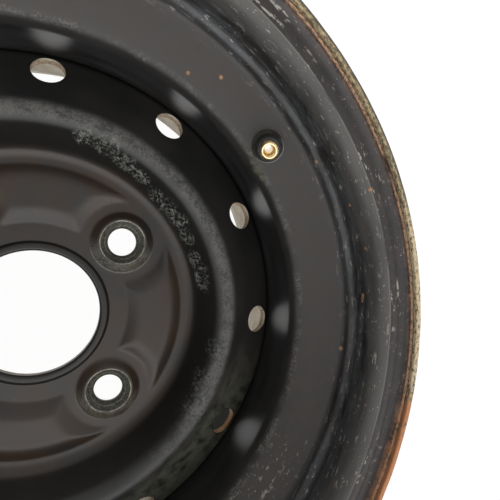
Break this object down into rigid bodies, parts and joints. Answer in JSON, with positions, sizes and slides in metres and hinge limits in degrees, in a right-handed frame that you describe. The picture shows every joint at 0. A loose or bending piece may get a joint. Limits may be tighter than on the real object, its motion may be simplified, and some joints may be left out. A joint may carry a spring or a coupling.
{
  "type": "utility vehicle wheel",
  "caption": "Pressed steel drop-centre wheel with a deep-set vented disc, conical nut seats, a centre bore and a snap-in valve without its core.",
  "frame": {"origin": "centre of the centre bore, in the plane of the disc's hub face", "axes": "+Z along the wheel's axis, outboard, so that the wheel lies on its inboard flange; the four bolt holes lie at 45, 135, 225 and 315 degrees from +X"},
  "size_m": [0.3295, 0.3296, 0.1962],
  "materials": {
    "rim_paint": "worn satin black paint with rust at the lip",
    "disc_paint": "dusty satin black paint",
    "weld_paint": "painted weld bead",
    "valve_rubber": "matt black rubber",
    "valve_brass": "bare turned brass"
  },
  "bodies": {
    "root": {"rim": "rim_paint", "disc": "disc_paint", "disc_weld": "weld_paint", "valve_body": "valve_rubber", "valve_stem": "valve_brass"}
  },
  "joints": []
}
